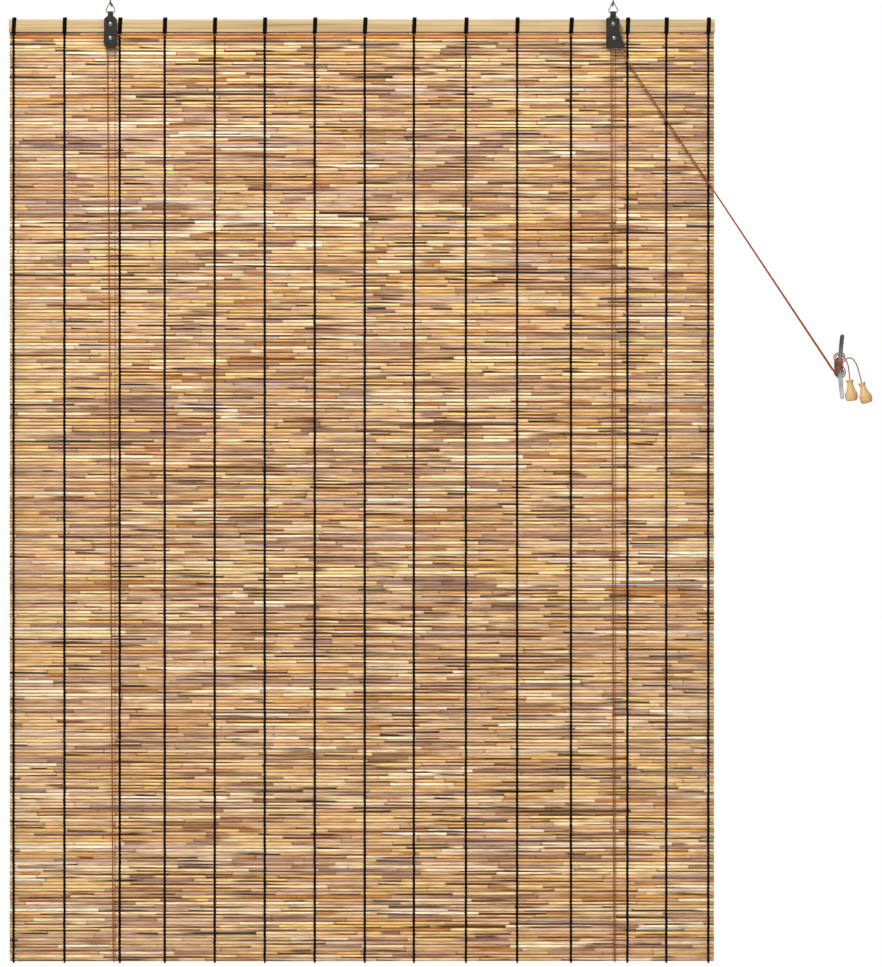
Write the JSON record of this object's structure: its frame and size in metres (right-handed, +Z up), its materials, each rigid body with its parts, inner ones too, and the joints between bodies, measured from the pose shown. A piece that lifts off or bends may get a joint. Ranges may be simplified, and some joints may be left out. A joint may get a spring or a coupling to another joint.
{
  "type": "reed roll up blind",
  "caption": "Wide hanging mat of natural reeds tied by dark warps, rolled up by two cords over pulleys and held on a wall cleat with wooden pulls.",
  "frame": {"origin": "on the wall face, midway between the two hook shanks and at their height", "axes": "+X to the viewer's right along the head rail, +Y into the wall, +Z up"},
  "size_m": [1.4681, 0.0638, 1.6372],
  "materials": {
    "rail_wood": "pale planed wood, satin",
    "reed": "peeled natural reeds, golden to brown, satin",
    "black_thread": "black twisted thread, matt",
    "bracket_paint": "dark brownish-grey paint, satin",
    "rivet_metal": "bright plated steel",
    "pulley_brass": "turned brass",
    "pulley_plastic": "dark moulded plastic",
    "wire": "drawn steel wire",
    "hook_wire": "dark drawn steel",
    "cleat_metal": "cast, grey, satin",
    "cord": "rust-brown braided cord",
    "acorn_wood": "pale turned wood, satin"
  },
  "bodies": {
    "rail": {"head_rail": "rail_wood", "mat_top": "reed", "warp_sleeves": "black_thread", "left_housing": "bracket_paint", "right_housing": "bracket_paint", "mount_rivets": "rivet_metal", "left_axle_rivet": "rivet_metal", "right_axle_rivet": "rivet_metal", "guide_pin": "rivet_metal", "left_hook": "hook_wire", "right_hook": "hook_wire", "cleat": "cleat_metal", "cleat_screws": "rivet_metal", "left_lift_cord": "cord", "right_lift_cord": "cord", "left_pull_cord": "cord", "right_pull_cord": "cord", "left_acorn": "acorn_wood", "right_acorn": "acorn_wood", "cord_knots": "cord"},
    "left_bail": {"left_bail": "wire"},
    "right_bail": {"right_bail": "wire"},
    "left_pulley": {"left_pulley": "pulley_plastic"},
    "right_rear_pulley": {"right_rear_pulley": "pulley_plastic"},
    "right_front_pulley": {"right_front_pulley": "pulley_plastic"},
    "guide_roller": {"guide_roller": "pulley_brass"},
    "mat_strip_01": {"mat_strip_01": "reed"},
    "mat_strip_02": {"mat_strip_02": "reed"},
    "mat_strip_03": {"mat_strip_03": "reed"},
    "mat_strip_04": {"mat_strip_04": "reed"},
    "mat_strip_05": {"mat_strip_05": "reed"},
    "mat_strip_06": {"mat_strip_06": "reed"},
    "mat_strip_07": {"mat_strip_07": "reed"},
    "mat_strip_08": {"mat_strip_08": "reed"},
    "mat_strip_09": {"mat_strip_09": "reed"},
    "mat_strip_10": {"mat_strip_10": "reed"},
    "mat_strip_11": {"mat_strip_11": "reed"},
    "mat_strip_12": {"mat_strip_12": "reed"},
    "mat_strip_13": {"mat_strip_13": "reed"},
    "mat_strip_14": {"mat_strip_14": "reed"},
    "mat_strip_15": {"mat_strip_15": "reed"},
    "mat_strip_16": {"mat_strip_16": "reed"},
    "mat_strip_17": {"mat_strip_17": "reed"},
    "mat_strip_18": {"mat_strip_18": "reed"},
    "mat_strip_19": {"mat_strip_19": "reed"},
    "mat_strip_20": {"mat_strip_20": "reed"},
    "mat_strip_21": {"mat_strip_21": "reed"},
    "mat_strip_22": {"mat_strip_22": "reed"},
    "mat_strip_23": {"mat_strip_23": "reed"},
    "mat_strip_24": {"mat_strip_24": "reed"},
    "mat_strip_25": {"mat_strip_25": "reed"},
    "mat_strip_26": {"mat_strip_26": "reed"},
    "mat_strip_27": {"mat_strip_27": "reed"},
    "mat_strip_28": {"mat_strip_28": "reed"},
    "mat_strip_29": {"mat_strip_29": "reed"},
    "mat_strip_30": {"mat_strip_30": "reed"},
    "mat_strip_31": {"mat_strip_31": "reed"},
    "mat_strip_32": {"mat_strip_32": "reed"},
    "mat_strip_33": {"mat_strip_33": "reed", "warp_end_knots": "black_thread"}
  },
  "joints": [
    {"name": "left_bail_tilt", "type": "hinge", "parent": "rail", "child": "left_bail", "pos_m": [-0.427, -0.0204, -0.0146], "axis": [1, 0, 0], "range_deg": [-6, 6]},
    {"name": "right_bail_tilt", "type": "hinge", "parent": "rail", "child": "right_bail", "pos_m": [0.427, -0.0204, -0.0146], "axis": [1, 0, 0], "range_deg": [-6, 6]},
    {"name": "left_pulley_spin", "type": "hinge", "parent": "rail", "child": "left_pulley", "pos_m": [-0.427, -0.0223, -0.058], "axis": [0, 1, 0], "continuous": true},
    {"name": "right_rear_pulley_spin", "type": "hinge", "parent": "rail", "child": "right_rear_pulley", "pos_m": [0.4284, -0.0223, -0.058], "axis": [0, 1, 0], "continuous": true},
    {"name": "right_front_pulley_spin", "type": "hinge", "parent": "rail", "child": "right_front_pulley", "pos_m": [0.4284, -0.0279, -0.058], "axis": [0, 1, 0], "continuous": true},
    {"name": "guide_roller_spin", "type": "hinge", "parent": "rail", "child": "guide_roller", "pos_m": [0.4383, -0.0251, -0.0702], "axis": [0, 1, 0], "continuous": true},
    {"name": "mat_fold_01", "type": "hinge", "parent": "rail", "child": "mat_strip_01", "pos_m": [0, -0.0124, -0.14314], "axis": [1, 0, 0], "range_deg": [0, 27.6], "deforming": ["left_lift_cord", "right_lift_cord", "left_pull_cord", "right_pull_cord"]},
    {"name": "mat_fold_02", "type": "hinge", "parent": "mat_strip_01", "child": "mat_strip_02", "pos_m": [0, -0.0124, -0.1881], "axis": [1, 0, 0], "range_deg": [0, 27.8]},
    {"name": "mat_fold_03", "type": "hinge", "parent": "mat_strip_02", "child": "mat_strip_03", "pos_m": [0, -0.0124, -0.23306], "axis": [1, 0, 0], "range_deg": [0, 28.1]},
    {"name": "mat_fold_04", "type": "hinge", "parent": "mat_strip_03", "child": "mat_strip_04", "pos_m": [0, -0.0124, -0.27802], "axis": [1, 0, 0], "range_deg": [0, 28.4]},
    {"name": "mat_fold_05", "type": "hinge", "parent": "mat_strip_04", "child": "mat_strip_05", "pos_m": [0, -0.0124, -0.32298], "axis": [1, 0, 0], "range_deg": [0, 28.7]},
    {"name": "mat_fold_06", "type": "hinge", "parent": "mat_strip_05", "child": "mat_strip_06", "pos_m": [0, -0.0124, -0.36794], "axis": [1, 0, 0], "range_deg": [0, 29]},
    {"name": "mat_fold_07", "type": "hinge", "parent": "mat_strip_06", "child": "mat_strip_07", "pos_m": [0, -0.0124, -0.4129], "axis": [1, 0, 0], "range_deg": [0, 29.3]},
    {"name": "mat_fold_08", "type": "hinge", "parent": "mat_strip_07", "child": "mat_strip_08", "pos_m": [0, -0.0124, -0.45786], "axis": [1, 0, 0], "range_deg": [0, 29.7]},
    {"name": "mat_fold_09", "type": "hinge", "parent": "mat_strip_08", "child": "mat_strip_09", "pos_m": [0, -0.0124, -0.50282], "axis": [1, 0, 0], "range_deg": [0, 30]},
    {"name": "mat_fold_10", "type": "hinge", "parent": "mat_strip_09", "child": "mat_strip_10", "pos_m": [0, -0.0124, -0.54778], "axis": [1, 0, 0], "range_deg": [0, 30.4]},
    {"name": "mat_fold_11", "type": "hinge", "parent": "mat_strip_10", "child": "mat_strip_11", "pos_m": [0, -0.0124, -0.59274], "axis": [1, 0, 0], "range_deg": [0, 30.7]},
    {"name": "mat_fold_12", "type": "hinge", "parent": "mat_strip_11", "child": "mat_strip_12", "pos_m": [0, -0.0124, -0.6377], "axis": [1, 0, 0], "range_deg": [0, 31.1]},
    {"name": "mat_fold_13", "type": "hinge", "parent": "mat_strip_12", "child": "mat_strip_13", "pos_m": [0, -0.0124, -0.68266], "axis": [1, 0, 0], "range_deg": [0, 31.5]},
    {"name": "mat_fold_14", "type": "hinge", "parent": "mat_strip_13", "child": "mat_strip_14", "pos_m": [0, -0.0124, -0.72762], "axis": [1, 0, 0], "range_deg": [0, 31.9]},
    {"name": "mat_fold_15", "type": "hinge", "parent": "mat_strip_14", "child": "mat_strip_15", "pos_m": [0, -0.0124, -0.77258], "axis": [1, 0, 0], "range_deg": [0, 32.4]},
    {"name": "mat_fold_16", "type": "hinge", "parent": "mat_strip_15", "child": "mat_strip_16", "pos_m": [0, -0.0124, -0.81754], "axis": [1, 0, 0], "range_deg": [0, 32.8]},
    {"name": "mat_fold_17", "type": "hinge", "parent": "mat_strip_16", "child": "mat_strip_17", "pos_m": [0, -0.0124, -0.8625], "axis": [1, 0, 0], "range_deg": [0, 33.3]},
    {"name": "mat_fold_18", "type": "hinge", "parent": "mat_strip_17", "child": "mat_strip_18", "pos_m": [0, -0.0124, -0.90746], "axis": [1, 0, 0], "range_deg": [0, 33.8]},
    {"name": "mat_fold_19", "type": "hinge", "parent": "mat_strip_18", "child": "mat_strip_19", "pos_m": [0, -0.0124, -0.95242], "axis": [1, 0, 0], "range_deg": [0, 34.3]},
    {"name": "mat_fold_20", "type": "hinge", "parent": "mat_strip_19", "child": "mat_strip_20", "pos_m": [0, -0.0124, -0.99738], "axis": [1, 0, 0], "range_deg": [0, 34.8]},
    {"name": "mat_fold_21", "type": "hinge", "parent": "mat_strip_20", "child": "mat_strip_21", "pos_m": [0, -0.0124, -1.04234], "axis": [1, 0, 0], "range_deg": [0, 35.3]},
    {"name": "mat_fold_22", "type": "hinge", "parent": "mat_strip_21", "child": "mat_strip_22", "pos_m": [0, -0.0124, -1.0873], "axis": [1, 0, 0], "range_deg": [0, 35.9]},
    {"name": "mat_fold_23", "type": "hinge", "parent": "mat_strip_22", "child": "mat_strip_23", "pos_m": [0, -0.0124, -1.13226], "axis": [1, 0, 0], "range_deg": [0, 36.5]},
    {"name": "mat_fold_24", "type": "hinge", "parent": "mat_strip_23", "child": "mat_strip_24", "pos_m": [0, -0.0124, -1.17722], "axis": [1, 0, 0], "range_deg": [0, 37.2]},
    {"name": "mat_fold_25", "type": "hinge", "parent": "mat_strip_24", "child": "mat_strip_25", "pos_m": [0, -0.0124, -1.22218], "axis": [1, 0, 0], "range_deg": [0, 37.8]},
    {"name": "mat_fold_26", "type": "hinge", "parent": "mat_strip_25", "child": "mat_strip_26", "pos_m": [0, -0.0124, -1.26714], "axis": [1, 0, 0], "range_deg": [0, 38.6]},
    {"name": "mat_fold_27", "type": "hinge", "parent": "mat_strip_26", "child": "mat_strip_27", "pos_m": [0, -0.0124, -1.3121], "axis": [1, 0, 0], "range_deg": [0, 39.3]},
    {"name": "mat_fold_28", "type": "hinge", "parent": "mat_strip_27", "child": "mat_strip_28", "pos_m": [0, -0.0124, -1.35706], "axis": [1, 0, 0], "range_deg": [0, 40.1]},
    {"name": "mat_fold_29", "type": "hinge", "parent": "mat_strip_28", "child": "mat_strip_29", "pos_m": [0, -0.0124, -1.40202], "axis": [1, 0, 0], "range_deg": [0, 41]},
    {"name": "mat_fold_30", "type": "hinge", "parent": "mat_strip_29", "child": "mat_strip_30", "pos_m": [0, -0.0124, -1.44698], "axis": [1, 0, 0], "range_deg": [0, 41.9]},
    {"name": "mat_fold_31", "type": "hinge", "parent": "mat_strip_30", "child": "mat_strip_31", "pos_m": [0, -0.0124, -1.49194], "axis": [1, 0, 0], "range_deg": [0, 42.8]},
    {"name": "mat_fold_32", "type": "hinge", "parent": "mat_strip_31", "child": "mat_strip_32", "pos_m": [0, -0.0124, -1.5369], "axis": [1, 0, 0], "range_deg": [0, 43.9]},
    {"name": "mat_fold_33", "type": "hinge", "parent": "mat_strip_32", "child": "mat_strip_33", "pos_m": [0, -0.0124, -1.58186], "axis": [1, 0, 0], "range_deg": [0, 45]}
  ]
}
